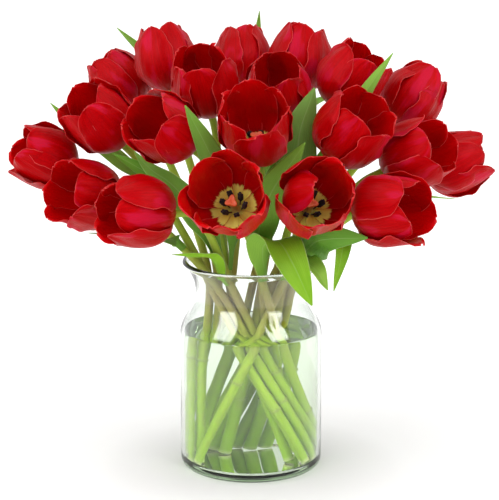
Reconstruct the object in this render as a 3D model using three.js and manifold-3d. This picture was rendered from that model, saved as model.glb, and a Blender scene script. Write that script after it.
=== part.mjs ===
// Twenty cut tulips standing in a clear glass jar vase with water.
// Millimetres, +Z up. The origin is on the jar's axis, at the surface that it stands on; the bouquet's front
// is towards -Y. Bearings are degrees in plan, from +X towards +Y.
import * as THREE from "three";
import { mergeGeometries, mergeVertices } from "three/addons/utils/BufferGeometryUtils.js";
import Module from "manifold-3d";

const wasm = await Module();
wasm.setup();

// ---- driving dimensions -------------------------------------------------------------------------------

const GAP = 0.3; // between pieces that touch
const JAR = {
  height: 210,
  bodyRadius: 70,
  neckRadius: 54.5, // outside, at the narrowest
  rimRadius: 67.5,
  shoulderDrop: 74, // from the rim down to where the straight side ends
  neckDrop: 33, // from the rim down to the narrowest
  wall: 3.5,
  floor: 8,
  heelRadius: 9,
  lip: 2.8, // radius of the rolled rim
  sides: 36,
};
const SHOULDER_Z = JAR.height - JAR.shoulderDrop;
const NECK_Z = JAR.height - JAR.neckDrop;
const WATER_DEPTH = 132; // above the jar's floor
const STEM = { radius: 4.2, steps: 12, sides: 8 };
const BLOOM = { length: 66, radius: 34, petal: 1.6, pistilRadius: 3.4, pistilHeight: 20 };
const DRAWN_RADIUS = 34; // the bloom radius that the places of the blooms and leaves below are given for
const LEAF = { thickness: 1.2, cup: 0.16, steps: 11 }; // cup: the rise of its edges, a share of the width
const SPREAD = 1; // scales how far the blooms stand out from the jar's axis

// Places above the rim grow with the blooms, so that the same bunch of larger blooms is as full.
const ROOM = BLOOM.radius / DRAWN_RADIUS;

// How the stems cross in the jar: each one turns round the axis on its way down, all the same way, and the feet
// are gathered round towards the back, which leaves the front of the jar's floor clear.
const NECK_TURN = 22;
const FOOT_TURN = 112;
const FOOT_GATHER = 0.68; // 1 spreads the feet all round
const NECK_CLEARANCE = 5;

// Where each bloom's middle is: its bearing, its reach from the jar's axis and its height above the rim. Its
// mouth leans from upright towards a bearing. open is 0 for a closed bud and 1 for a wide cup, turn rolls the
// petals about the bloom's axis, and foot is the bearing of the stem's foot where it isn't the usual one.
const TULIPS = [
  { bearing: 171, reach: 204, above: 96, lean: 62, towards: -168, open: 0.55, turn: 10, size: 0.95 },
  { bearing: 178, reach: 146, above: 138, lean: 42, towards: -155, open: 0.6, turn: 40, size: 1 },
  { bearing: -171, reach: 160, above: 70, lean: 70, towards: -142, open: 0.7, turn: 25, size: 1 },
  { bearing: -141, reach: 136, above: 68, lean: 80, towards: -150, open: 0.45, turn: 0, size: 1.06 },
  { bearing: 140, reach: 172, above: 156, lean: 36, towards: 165, open: 0.35, turn: 15, size: 0.95 },
  { bearing: -148, reach: 96, above: 140, lean: 54, towards: -138, open: 0.6, turn: 50, size: 1 },
  { bearing: 141, reach: 106, above: 186, lean: 18, towards: 130, open: 0.35, turn: 5, size: 0.98 },
  { bearing: 162, reach: 49, above: 173, lean: 28, towards: -110, open: 0.5, turn: 30, size: 1.02 },
  { bearing: 94, reach: 122, above: 180, lean: 20, towards: 95, open: 0.3, turn: 45, size: 0.95 },
  { bearing: 58, reach: 96, above: 184, lean: 15, towards: 45, open: 0.35, turn: 20, size: 1 },
  { bearing: 25, reach: 30, above: 166, lean: 34, towards: -100, open: 0.5, turn: 55, size: 1 },
  { bearing: -86, reach: 62, above: 143, lean: 38, towards: -98, open: 0.75, turn: 35, size: 1.04 },
  { bearing: -100, reach: 117, above: 88, lean: 60, towards: -102, open: 0.95, turn: 12, size: 1.06 },
  { bearing: -62, reach: 124, above: 86, lean: 58, towards: -80, open: 0.8, turn: 48, size: 1.04,
    foot: -156 },
  { bearing: -30, reach: 150, above: 68, lean: 80, towards: -30, open: 0.6, turn: 22, size: 1.06 },
  { bearing: -25, reach: 105, above: 137, lean: 42, towards: -40, open: 0.65, turn: 8, size: 1.04 },
  { bearing: 18, reach: 98, above: 175, lean: 32, towards: -15, open: 0.55, turn: 33, size: 0.98 },
  { bearing: 24, reach: 175, above: 148, lean: 42, towards: 22, open: 0.3, turn: 18, size: 1 },
  { bearing: -7, reach: 158, above: 108, lean: 60, towards: -27, open: 0.65, turn: 42, size: 1.04 },
  { bearing: 13, reach: 208, above: 86, lean: 68, towards: 5, open: 0.5, turn: 28, size: 0.98 },
];

// Each leaf leaves the stem of one tulip, counted from 1, at the height from above the rim. It passes through
// via to its tip, each row being a bearing, a reach and a height above the rim. Across the blade is the bearing
// side, rising by rise degrees.
const LEAVES = [
  { stem: 7, from: 82, width: 17, side: 180, rise: -44,
    via: [[136, 118, 142], [140, 148, 183], [145, 175, 211]] },
  { stem: 2, from: 66, width: 17, side: 0, rise: 51,
    via: [[162, 162, 109], [163, 189, 128], [163, 208, 144]] },
  { stem: 9, from: 82, width: 18, side: 180, rise: 0,
    via: [[90, 165, 134], [88, 172, 184], [87, 166, 220]] },
  { stem: 17, from: 72, width: 18, side: 0, rise: -34,
    via: [[6, 92, 125], [0, 107, 165], [2, 135, 206]] },
  { stem: 6, from: -6, width: 30, side: 0, rise: 20,
    via: [[-120, 29, 30], [-120, 69, 107], [-123, 113, 171]] },
  { stem: 4, from: 6, width: 27, side: 0, rise: 43,
    via: [[-138, 60, 41], [-142, 104, 96], [-156, 124, 131]] },
  { stem: 6, from: 30, width: 22, side: 0, rise: 52,
    via: [[-151, 72, 62], [-160, 103, 92], [-167, 136, 112]] },
  { stem: 3, from: 12, width: 20, side: -90, rise: 10,
    via: [[-156, 80, 26], [-162, 113, 34], [-173, 160, 31]] },
  { stem: 19, from: 28, width: 22, side: 90, rise: -10,
    via: [[-6, 106, 52], [-7, 163, 66], [-6, 200, 65]] },
  { stem: 16, from: 52, width: 40, side: 0, rise: -10,
    via: [[-37, 63, 90], [-33, 65, 116], [-24, 80, 174]] },
  { stem: 11, from: 22, width: 26, side: 0, rise: -20,
    via: [[-22, 27, 78], [-15, 39, 111], [-11, 54, 155]] },
  { stem: 12, from: 4, width: 34, side: 0, rise: -20,
    via: [[-82, 45, 30], [-75, 62, 78], [-51, 78, 131]] },
  { stem: 13, from: -7, width: 38, side: 0, rise: -5,
    via: [[-79, 63, 29], [-72, 82, 37], [-68, 103, 21], [-60, 115, -20]] },
  { stem: 15, from: 2, width: 36, side: 0, rise: -65,
    via: [[-47, 76, 28], [-55, 110, 47], [-44, 146, 52]] },
  { stem: 14, from: -10, width: 32, side: 34, rise: 0,
    via: [[-57, 84, 16], [-56, 109, 12], [-53, 120, -6]] },
  { stem: 19, from: 12, width: 20, side: 20, rise: 0,
    via: [[-17, 84, 30], [-35, 107, 32], [-46, 113, -11]] },
  { stem: 4, from: -14, width: 20, side: -55, rise: 20,
    via: [[-128, 57, 12], [-133, 82, 18], [-138, 101, 22]] },
  { stem: 10, from: 42, width: 30, side: 150, rise: 0,
    via: [[72, 118, 102], [66, 152, 126], [60, 176, 136]] },
];

// ---- vectors, bearings and closest points ---------------------------------------------------------------

const V = (x, y, z) => new THREE.Vector3(x, y, z);
const radians = THREE.MathUtils.degToRad;
const smooth = THREE.MathUtils.smoothstep;
const polar = (reach, bearing, z) =>
  V(reach * Math.cos(radians(bearing)), reach * Math.sin(radians(bearing)), z);
const placed = (bearing, reach, above) => polar(reach * SPREAD * ROOM, bearing, JAR.height + above * ROOM);
const evenly = (from, to, steps) =>
  Array.from({ length: steps + 1 }, (_, i) => from + ((to - from) * i) / steps);

// The nearest points of the segments a-b and c-d, as shares s and t along them, and the vector between them.
function nearest(a, b, c, d) {
  const u = b.clone().sub(a);
  const v = d.clone().sub(c);
  const w = a.clone().sub(c);
  const uu = u.dot(u) || 1e-9;
  const vv = v.dot(v) || 1e-9;
  const uv = u.dot(v);
  const slope = uu * vv - uv * uv;
  let s = slope > 1e-9 ? THREE.MathUtils.clamp((uv * v.dot(w) - vv * u.dot(w)) / slope, 0, 1) : 0;
  const t = THREE.MathUtils.clamp((uv * s + v.dot(w)) / vv, 0, 1);
  s = THREE.MathUtils.clamp((uv * t - u.dot(w)) / uu, 0, 1);
  const between = w.addScaledVector(u, s).addScaledVector(v, -t);
  return { s, t, between };
}

// ---- the jar ------------------------------------------------------------------------------------------

// The jar's outside radius at a height above its heel: straight side, drawn-in shoulder, flared mouth.
function jarRadius(z) {
  const { bodyRadius, neckRadius, rimRadius, height, lip } = JAR;
  if (z <= SHOULDER_Z) return bodyRadius;
  if (z <= NECK_Z) {
    const drawnIn = (1 - Math.cos((Math.PI * (z - SHOULDER_Z)) / (NECK_Z - SHOULDER_Z))) / 2;
    return bodyRadius - (bodyRadius - neckRadius) * drawnIn;
  }
  const flare = (z - NECK_Z) / (height - lip - NECK_Z);
  return neckRadius + (rimRadius - lip - neckRadius + JAR.wall / 2) * flare * flare;
}

const JAR_HEIGHTS = [
  ...evenly(SHOULDER_Z, NECK_Z, 5),
  ...evenly(NECK_Z, JAR.height - 2 * JAR.lip, 4).slice(1),
];

// A quarter of a circle about (r, z), as profile points.
function arc(r, z, radius, fromDegrees, toDegrees, steps) {
  return evenly(radians(fromDegrees), radians(toDegrees), steps).map(
    (a) => new THREE.Vector2(r + radius * Math.cos(a), z + radius * Math.sin(a)),
  );
}

function jarGeometry() {
  const { bodyRadius, wall, floor, heelRadius, lip, height } = JAR;
  const innerHeel = heelRadius - wall;
  const lipRadius = JAR.rimRadius - lip;
  return new THREE.LatheGeometry(
    [
      new THREE.Vector2(0, 0),
      ...arc(bodyRadius - heelRadius, heelRadius, heelRadius, -90, 0, 3),
      ...JAR_HEIGHTS.map((z) => new THREE.Vector2(jarRadius(z), z)),
      ...arc(lipRadius, height - lip, lip, 0, 180, 4),
      ...JAR_HEIGHTS.map((z) => new THREE.Vector2(jarRadius(z) - wall, z)).reverse(),
      ...arc(bodyRadius - wall - innerHeel, floor + innerHeel, innerHeel, 0, -90, 2),
      new THREE.Vector2(0, floor),
    ],
    JAR.sides,
  ).rotateX(Math.PI / 2);
}

function waterGeometry() {
  const { bodyRadius, wall, floor, heelRadius } = JAR;
  const innerHeel = heelRadius - wall;
  const top = floor + WATER_DEPTH;
  const widen = 1 / Math.cos(Math.PI / JAR.sides);
  const under = JAR_HEIGHTS.filter((z) => z < top);
  return new THREE.LatheGeometry(
    [
      new THREE.Vector2(0, floor + GAP),
      ...arc(bodyRadius - wall - innerHeel - GAP * widen, floor + GAP + innerHeel, innerHeel, -90, 0, 2),
      ...[...under, top].map((z) => new THREE.Vector2((insideRadius(z) - GAP) * widen, z)),
      new THREE.Vector2(0, top),
    ],
    JAR.sides,
  ).rotateX(Math.PI / 2);
}

// The inside radius at a height of the jar as it is made, in straight steps, and open air above the rim.
function insideRadius(z) {
  const { height, lip, rimRadius, wall, bodyRadius, floor, heelRadius, sides } = JAR;
  if (z > height) return Infinity;
  const cornerRise = heelRadius - wall - Math.max(0, z - floor);
  if (cornerRise > 0) return (bodyRadius - wall - cornerRise) * Math.cos(Math.PI / sides);
  const overLip = z - (height - lip);
  if (overLip > -lip) return rimRadius - lip - Math.sqrt(lip * lip - Math.max(0, overLip) ** 2) - 0.3;
  const above = JAR_HEIGHTS.findIndex((h) => h >= z);
  if (above < 1) return (bodyRadius - wall) * Math.cos(Math.PI / sides);
  const [low, high] = [JAR_HEIGHTS[above - 1], JAR_HEIGHTS[above]];
  const outside = THREE.MathUtils.lerp(jarRadius(low), jarRadius(high), (z - low) / (high - low));
  return (outside - wall) * Math.cos(Math.PI / sides);
}

// How far from the axis a round thing of radius clear may be, at a height, without touching the glass.
function roomInJar(z, clear) {
  const tilts = evenly(-Math.PI / 2, Math.PI / 2, 6);
  return Math.min(...tilts.map((a) => insideRadius(z + clear * Math.sin(a)) - clear * Math.cos(a)));
}

// ---- settling what touches ------------------------------------------------------------------------------

// Moves the blooms apart, each taken as a fat capsule about its axis, until none touches another.
function settleBlooms(tulips) {
  const half = 9;
  for (let round = 0; round < 400; round++) {
    let moved = 0;
    tulips.forEach((p, i) =>
      tulips.slice(i + 1).forEach((q) => {
        const ends = (k) => [-half, half].map((h) => k.middle.clone().addScaledVector(k.axis, h));
        const { between } = nearest(...ends(p), ...ends(q));
        const lacking = (p.size + q.size) * BLOOM.radius + GAP - between.length();
        if (lacking <= 0) return;
        between.setLength(lacking / 2 + 0.01);
        p.middle.add(between);
        q.middle.sub(between);
        moved = Math.max(moved, lacking);
      }),
    );
    if (moved < 0.01) return;
  }
}

// A strand is a line of points with a body round it. feel() gives the body as feelers, capsules from a to b. A
// feeler's carriers(t) are the points that carry its place t, with each one's share of a push.
const feelerBox = (f) => new THREE.Box3().setFromPoints([f.a, f.b]).expandByScalar(f.radius + GAP);

function pushStrand(strand, feeler, t, push) {
  feeler.carriers(t).forEach(([k, share]) => strand.moves[k].addScaledVector(push, share));
}

// Pushes the place t of a feeler in from the jar's wall, and says how far it was out.
function pushFromGlass(strand, feeler, t, margin) {
  const p = feeler.a.clone().lerp(feeler.b, t);
  const clear = feeler.radius + margin;
  if (p.z > JAR.height + clear) return 0;
  const r = Math.hypot(p.x, p.y);
  const over = r - roomInJar(p.z, clear);
  if (over <= 0 || r >= JAR.bodyRadius + 4) return 0;
  pushStrand(strand, feeler, t, V(-p.x / r, -p.y / r, 0).multiplyScalar(over / 2));
  return over;
}

// Settles strands against each other, against the still capsules and against the jar.
function settleStrands(strands, still, rounds, margin) {
  for (let round = 0; round < rounds; round++) {
    strands.forEach((s) => {
      s.moves = s.points.map(() => V(0, 0, 0));
      s.feelers = s.feel();
      s.feelers.forEach((f) => (f.box = feelerBox(f)));
    });
    let worst = 0;
    const touch = (s, f, other, g) => {
      if (!f.box.intersectsBox(g.box) || (f.spares && f.spares(g))) return;
      const { s: at, t, between } = nearest(f.a, f.b, g.a, g.b);
      const lacking = f.radius + g.radius + margin - between.length();
      if (lacking <= 0) return;
      worst = Math.max(worst, lacking);
      if (between.lengthSq() < 1e-6) between.set(0.01, 0.02, 0);
      between.setLength(lacking * (other ? 0.5 : 1));
      pushStrand(s, f, at, between);
      if (other) pushStrand(other, g, t, between.negate());
    };
    strands.forEach((s, i) => {
      s.feelers.forEach((f) => still.forEach((g) => touch(s, f, null, g)));
      strands.slice(i + 1).forEach((other) =>
        s.feelers.forEach((f) => other.feelers.forEach((g) => touch(s, f, other, g))));
    });
    strands.forEach((s) => {
      s.feelers.forEach((f) => evenly(0, 1, f.a.z + f.b.z > 2.6 * NECK_Z ? 3 : 7).forEach((t) => {
        worst = Math.max(worst, pushFromGlass(s, f, t, margin));
      }));
      s.points.forEach((p, k) => { if (!s.fixed(k)) p.add(s.moves[k].clampLength(0, 4)); });
      const off = s.points.map((p, k) => p.clone().sub(s.home[k]));
      const ease = round < rounds * 0.7 ? 0.3 : 0.08;
      s.points.forEach((p, k) => {
        if (s.fixed(k)) return;
        const before = off[Math.max(k - 1, 0)];
        const after = off[Math.min(k + 1, off.length - 1)];
        p.addScaledVector(before.clone().add(after).multiplyScalar(0.5).sub(off[k]), ease);
      });
      s.settle?.();
    });
    if (worst < 0.02) return;
  }
}

// ---- stems --------------------------------------------------------------------------------------------

// Straight extrusions are bent into place: place(v) moves a vertex whose z is its share of the length.
function bent(shape, steps, place) {
  const geometry = new THREE.ExtrudeGeometry(shape, { depth: 1, steps, bevelEnabled: false });
  const at = geometry.attributes.position;
  const v = V(0, 0, 0);
  for (let i = 0; i < at.count; i++) {
    place(v.fromBufferAttribute(at, i));
    at.setXYZ(i, v.x, v.y, v.z);
  }
  return geometry;
}

// The point, the direction and a sideways direction at a share of the way along a line of points.
function frameAlong(points, side) {
  const last = points.length - 1;
  return points.map((p, k) => {
    const along = points[Math.min(k + 1, last)].clone().sub(points[Math.max(k - 1, 0)]).normalize();
    const across = side(k).clone().addScaledVector(along, -side(k).dot(along)).normalize();
    return { p: p.clone(), along, across, up: V(0, 0, 0).crossVectors(along, across) };
  });
}

const round = (radius, sides) =>
  new THREE.Shape(evenly(0, 2 * Math.PI, sides).slice(0, -1).map(
    (a) => new THREE.Vector2(radius * Math.cos(a), radius * Math.sin(a))));

function stemGeometry(stem, clearance = 0) {
  const frames = frameAlong(stem.points, () => stem.side);
  frames[0].p.addScaledVector(frames[0].along, -clearance);
  return bent(round(STEM.radius + clearance, STEM.sides), frames.length - 1, (v) => {
    const f = frames[Math.round(v.z * (frames.length - 1))];
    v.copy(f.p.clone().addScaledVector(f.across, v.x).addScaledVector(f.up, v.y));
  });
}

function drawStem(tulip) {
  const base = tulip.middle.clone().addScaledVector(tulip.axis, -tulip.size * BLOOM.length / 2 - GAP);
  const below = base.clone().addScaledVector(tulip.axis, -26);
  const bearing = THREE.MathUtils.radToDeg(Math.atan2(tulip.middle.y, tulip.middle.x));
  const reach = Math.hypot(tulip.middle.x, tulip.middle.y);
  const room = roomInJar(NECK_Z, STEM.radius + NECK_CLEARANCE);
  const neck = polar(room * Math.min(1, 0.25 + reach / 170), bearing + NECK_TURN, NECK_Z + 14);
  const footRoom = JAR.bodyRadius - JAR.wall - STEM.radius - 10;
  const seat = (foot, above) => {
    const upright = above.clone().sub(foot).normalize().z;
    foot.z = JAR.floor + GAP + 0.05 + STEM.radius * Math.sqrt(1 - upright * upright);
  };
  const fromBack = THREE.MathUtils.euclideanModulo(bearing + FOOT_TURN + 90, 360) - 180;
  const footBearing = 90 + fromBack * FOOT_GATHER;
  const foot = polar(footRoom * Math.min(1, 0.5 + reach / 260), tulip.foot ?? footBearing, JAR.floor);
  const waypoints = [foot, foot.clone().lerp(neck, 0.5), neck, below, base];
  const points = new THREE.CatmullRomCurve3(waypoints, false, "centripetal").getSpacedPoints(STEM.steps);
  return {
    owner: tulip.name,
    points,
    home: points.map((p) => p.clone()),
    side: V(0, 1, 0),
    fixed: (k) => k >= STEM.steps - 1,
    settle() { seat(this.points[0], this.points[1]); },
    feel() {
      return this.points.slice(1).map((b, k) => ({
        a: this.points[k],
        b,
        radius: STEM.radius,
        carriers: (t) => [[k, 1 - t], [k + 1, t]],
      }));
    },
  };
}

// ---- blooms -------------------------------------------------------------------------------------------

// A bloom about its own axis: receptacle, cup of six lobed petals and the pistil, grown together as one.
function bloomGeometry(tulip) {
  const { length, radius, petal, pistilRadius, pistilHeight } = BLOOM;
  const bottom = -length / 2;
  const mouth = radius * THREE.MathUtils.lerp(0.5, 0.92, tulip.open);
  const profile = (h) => {
    const t = (h - bottom) / length;
    const belly = radius * 0.95 * Math.pow(Math.sin(Math.min(1, t / 0.5 + 0.04) * Math.PI / 2), 0.62);
    return t < 0.5 ? belly : THREE.MathUtils.lerp(radius * 0.95, mouth, smooth(t, 0.5, 1));
  };
  const rises = [0.03, 0.17, 0.42, 0.72, 1].map((t) => bottom + t * length);
  const rim = rises.at(-1);
  const floorZ = bottom + 4;
  const geometry = new THREE.LatheGeometry(
    [
      new THREE.Vector2(0, bottom),
      ...rises.map((h) => new THREE.Vector2(profile(h), h)),
      ...rises.slice(1).reverse().map((h) => new THREE.Vector2(profile(h) - petal, h === rim ? h - 1 : h)),
      new THREE.Vector2(pistilRadius, floorZ),
      new THREE.Vector2(pistilRadius * 0.8, floorZ + pistilHeight),
      new THREE.Vector2(0, floorZ + pistilHeight + 2),
    ],
    12,
  );
  const at = geometry.attributes.position;
  const v = V(0, 0, 0);
  for (let i = 0; i < at.count; i++) {
    v.fromBufferAttribute(at, i);
    const r = Math.hypot(v.x, v.z);
    const lobe = Math.cos(6 * Math.atan2(v.x, v.z));
    const rise = (v.y - bottom) / length;
    const isPetal = r > pistilRadius + 1 && rise > 0.4;
    const tall = isPetal ? 4.5 * lobe * (rise - 0.4) / 0.6 - (rise > 0.9 ? 4.5 : 0) : 0;
    at.setXYZ(i, v.z, v.x, v.y + tall);
  }
  return geometry;
}

// ---- leaves -------------------------------------------------------------------------------------------

// The centre line of a leaf from its own stem, which it leaves at the height from, through via to its tip.
function drawLeaf(leaf) {
  const stem = stems[leaf.stem - 1];
  const from = JAR.height + leaf.from * ROOM;
  const k = stem.points.findIndex((p) => p.z > from) - 1;
  const [low, high] = [stem.points[k], stem.points[k + 1]];
  const foot = low.clone().lerp(high, (from - low.z) / (high.z - low.z));
  const along = high.clone().sub(low).normalize();
  const via = leaf.via.map((place) => placed(...place));
  const out = via[0].clone().sub(foot);
  out.addScaledVector(along, -out.dot(along)).normalize();
  const base = foot.addScaledVector(out, STEM.radius + GAP + 0.1);
  const clasp = base.clone().addScaledVector(along, 9).addScaledVector(out, 0.8 + LEAF.thickness / 2);
  const curve = new THREE.CatmullRomCurve3([base, clasp, ...via], false, "centripetal");
  const points = curve.getSpacedPoints(LEAF.steps);
  const hug = V(0, 0, 0).crossVectors(along, out).normalize();
  const open = polar(Math.cos(radians(leaf.rise)), leaf.side, Math.sin(radians(leaf.rise)));
  if (open.dot(hug) < 0) open.negate();
  const side = (at) => hug.clone().lerp(open, smooth(at, 0, 4));
  const strand = {
    points,
    home: points.map((p) => p.clone()),
    fixed: (at) => at === 0,
    side,
    feel() {
      const radius = LEAF.thickness / 2 + 0.2;
      const frames = frameAlong(this.points, side);
      const edges = frames.map((f, at) => {
        const width = leaf.width * leafWidth(at / LEAF.steps);
        return [-1, 0, 1].map((way) => onLeaf(f, width, way));
      });
      const own = (at) => (at < 2 ? (g) => g.owner === stem.owner : null);
      const runs = edges.slice(1).flatMap((row, at) => row.map((b, way) => ({
        a: edges[at][way], b, radius, spares: own(at), carriers: (t) => [[at, 1 - t], [at + 1, t]],
      })));
      const rungs = edges.flatMap((row, at) => [0, 1].map((way) => ({
        a: row[way], b: row[way + 1], radius, spares: own(at), carriers: () => [[at, 1]],
      })));
      return [...runs, ...rungs];
    },
  };
  return strand;
}

// The share of its greatest width that a leaf has at a share t of its length, from clasp to point.
function leafWidth(t) {
  const taper = 1 - Math.pow(Math.max(0, t - 0.38) / 0.63, 1.9);
  return (0.34 + 0.66 * smooth(t, 0, 0.38)) * Math.pow(taper, 0.95);
}

// A point of a leaf's middle surface: way is -1 at one edge, 0 on the midrib and 1 at the other edge.
function onLeaf(frame, width, way) {
  return frame.p.clone()
    .addScaledVector(frame.across, (way * width) / 2)
    .addScaledVector(frame.up, Math.abs(way) * LEAF.cup * width);
}

// A folded blade, thickest along the midrib and running out to nothing all round. Both its skins are cut into
// the same triangles, so that they stay apart where the blade twists.
function leafGeometry(strand, leaf) {
  const frames = frameAlong(strand.points, strand.side);
  const skin = (face) => {
    const sheet = new THREE.PlaneGeometry(2, 1, 2, LEAF.steps);
    const at = sheet.attributes.position;
    for (let i = 0; i < at.count; i++) {
      const way = at.getX(i);
      const step = Math.round((0.5 - at.getY(i)) * LEAF.steps);
      const inside = way === 0 && step > 0 && step < LEAF.steps;
      const p = onLeaf(frames[step], leaf.width * leafWidth(step / LEAF.steps), way);
      if (inside) p.addScaledVector(frames[step].up, (face * LEAF.thickness) / 2);
      at.setXYZ(i, p.x, p.y, p.z);
    }
    if (face < 0) sheet.index.array.reverse();
    return sheet;
  };
  const blade = mergeGeometries([skin(-1), skin(1)]);
  blade.computeVertexNormals();
  return blade;
}

// ---- assembly -----------------------------------------------------------------------------------------

const solid = (name, color, roughness) => new THREE.MeshStandardMaterial({ name, color, roughness });
const clear = (name, color, opacity) =>
  new THREE.MeshStandardMaterial({ name, color, opacity, roughness: 0.05, transparent: true });

const STEM_GREEN = solid("stem", 0x9bb83c, 0.55);
const PETAL_RED = solid("petal", 0xb00812, 0.45);
const LEAF_GREEN = solid("leaf", 0x5f9a35, 0.5);
const CLEAR_GLASS = clear("glass", 0xe4f2e6, 0.35);
const CLEAR_WATER = clear("water", 0xdcefcf, 0.3);

const bouquet = new THREE.Group();

function add(name, geometry, material) {
  const mesh = new THREE.Mesh(geometry, material);
  mesh.name = name;
  bouquet.add(mesh);
  return mesh;
}

// A closed mesh as a manifold-3d solid, and a solid as a mesh's geometry.
function solidOf(geometry) {
  const bare = geometry.clone();
  bare.deleteAttribute("normal");
  bare.deleteAttribute("uv");
  const merged = mergeVertices(bare, 1e-3);
  return new wasm.Manifold(new wasm.Mesh({
    numProp: 3,
    vertProperties: merged.attributes.position.array,
    triVerts: new Uint32Array(merged.index.array),
  }));
}

function geometryOf(solid) {
  const { vertProperties, triVerts } = solid.getMesh();
  return new THREE.BufferGeometry()
    .setAttribute("position", new THREE.BufferAttribute(vertProperties, 3))
    .setIndex(new THREE.BufferAttribute(triVerts, 1));
}

const numbered = (i) => String(i + 1).padStart(2, "0");
for (const [i, tulip] of TULIPS.entries()) {
  tulip.name = numbered(i);
  tulip.middle = placed(tulip.bearing, tulip.reach, tulip.above);
  tulip.axis = polar(Math.sin(radians(tulip.lean)), tulip.towards, Math.cos(radians(tulip.lean)));
}
settleBlooms(TULIPS);

const bloomCapsules = TULIPS.map((t) => {
  const capsule = {
    a: t.middle.clone().addScaledVector(t.axis, -t.size * (BLOOM.length / 2 - BLOOM.radius * 0.8)),
    b: t.middle.clone().addScaledVector(t.axis, t.size * (BLOOM.length / 2 - BLOOM.radius * 0.8)),
    radius: BLOOM.radius * t.size * 0.97,
    owner: t.name,
  };
  capsule.box = feelerBox(capsule);
  return capsule;
});

const stems = TULIPS.map(drawStem);
for (const stem of stems) {
  const feel = stem.feel.bind(stem);
  stem.feel = () => feel().map((f) => ({ ...f, spares: (g) => g.owner === stem.owner }));
}
settleStrands(stems, bloomCapsules, 300, 0.6);

const stemCapsules = stems.flatMap((s) => s.feel().map((f) => ({ ...f, owner: s.owner, box: feelerBox(f) })));
const leaves = LEAVES.map(drawLeaf);
settleStrands(leaves, [...bloomCapsules, ...stemCapsules], 160, 0.6);

add("jar", jarGeometry(), CLEAR_GLASS);
TULIPS.forEach((tulip, i) => {
  add(`stem_${tulip.name}`, stemGeometry(stems[i]), STEM_GREEN);
  const bloom = add(`bloom_${tulip.name}`, bloomGeometry(tulip), PETAL_RED);
  bloom.scale.setScalar(tulip.size);
  bloom.position.copy(tulip.middle);
  bloom.quaternion.setFromUnitVectors(V(0, 0, 1), tulip.axis).multiply(
    new THREE.Quaternion().setFromAxisAngle(V(0, 0, 1), radians(tulip.turn)));
});

LEAVES.forEach((leaf, i) => add(`leaf_${numbered(i)}`, leafGeometry(leaves[i], leaf), LEAF_GREEN));

let water = solidOf(waterGeometry());
for (const stem of stems) water = water.subtract(solidOf(stemGeometry(stem, GAP + 0.05)));
add("water", geometryOf(water), CLEAR_WATER);

export default bouquet;
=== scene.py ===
"""Cut tulips in a clear glass jar vase of water. Metres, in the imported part's own frame."""

import math

import bpy
import numpy as np
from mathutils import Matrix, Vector


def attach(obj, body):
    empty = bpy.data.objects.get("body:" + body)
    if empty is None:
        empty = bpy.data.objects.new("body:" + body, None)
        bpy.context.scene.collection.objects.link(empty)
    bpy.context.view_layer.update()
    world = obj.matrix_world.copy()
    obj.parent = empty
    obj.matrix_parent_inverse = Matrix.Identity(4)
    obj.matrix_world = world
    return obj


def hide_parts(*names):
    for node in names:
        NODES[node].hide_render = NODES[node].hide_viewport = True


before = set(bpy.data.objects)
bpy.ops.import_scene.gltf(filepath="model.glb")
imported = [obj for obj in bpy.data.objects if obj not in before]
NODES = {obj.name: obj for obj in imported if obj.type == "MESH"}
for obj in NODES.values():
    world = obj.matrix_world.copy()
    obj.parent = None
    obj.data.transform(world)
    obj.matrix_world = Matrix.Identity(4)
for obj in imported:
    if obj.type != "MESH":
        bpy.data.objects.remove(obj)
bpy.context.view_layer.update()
MM = 0.001
FULL_TURN = 2 * math.pi

# ---- camera ------------------------------------------------------------------------------------

CAMERA_PLACE = (-0.0015, -2.3, 0.8)
CAMERA_TARGET = (-0.0015, 0, 0.219)
CAMERA_LENS = 174.2
CAMERA_REACH = 60


def put(name, data):
    """A new object in the scene."""
    thing = bpy.data.objects.new(name, data)
    bpy.context.scene.collection.objects.link(thing)
    return thing


def aim(thing, place, target):
    """Moves a camera or a light to a place and points it at a target."""
    thing.location = place
    thing.rotation_euler = (Vector(target) - Vector(place)).to_track_quat("-Z", "Y").to_euler()


def add_camera():
    data = bpy.data.cameras.new("camera")
    data.lens = CAMERA_LENS
    data.clip_end = CAMERA_REACH
    camera = put("camera", data)
    aim(camera, CAMERA_PLACE, CAMERA_TARGET)
    bpy.context.scene.camera = camera


add_camera()

# ---- reading the frame -------------------------------------------------------------------------

# Corners of a CAD mesh this close are one corner, and corners of a stem this close share a ring.
SAME_CORNER = 0.02 * MM
SAME_RING = 4.5 * MM


def welded(node):
    """A CAD node's corners, each once, and for each the others that it shares an edge with."""
    mesh = NODES[node].data
    places = np.array([vertex.co for vertex in mesh.vertices])
    owner = np.full(len(places), -1)
    corners = []
    for i, place in enumerate(places):
        if owner[i] < 0:
            close = np.linalg.norm(places - place, axis=1) < SAME_CORNER
            owner[close & (owner < 0)] = len(corners)
            corners.append(place)
    links = [set() for _ in corners]
    for edge in mesh.edges:
        a, b = (int(owner[v]) for v in edge.vertices)
        if a != b:
            links[a].add(b)
            links[b].add(a)
    return np.array(corners), links


def distances(corners):
    return np.linalg.norm(corners[:, None] - corners[None], axis=2)


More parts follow.
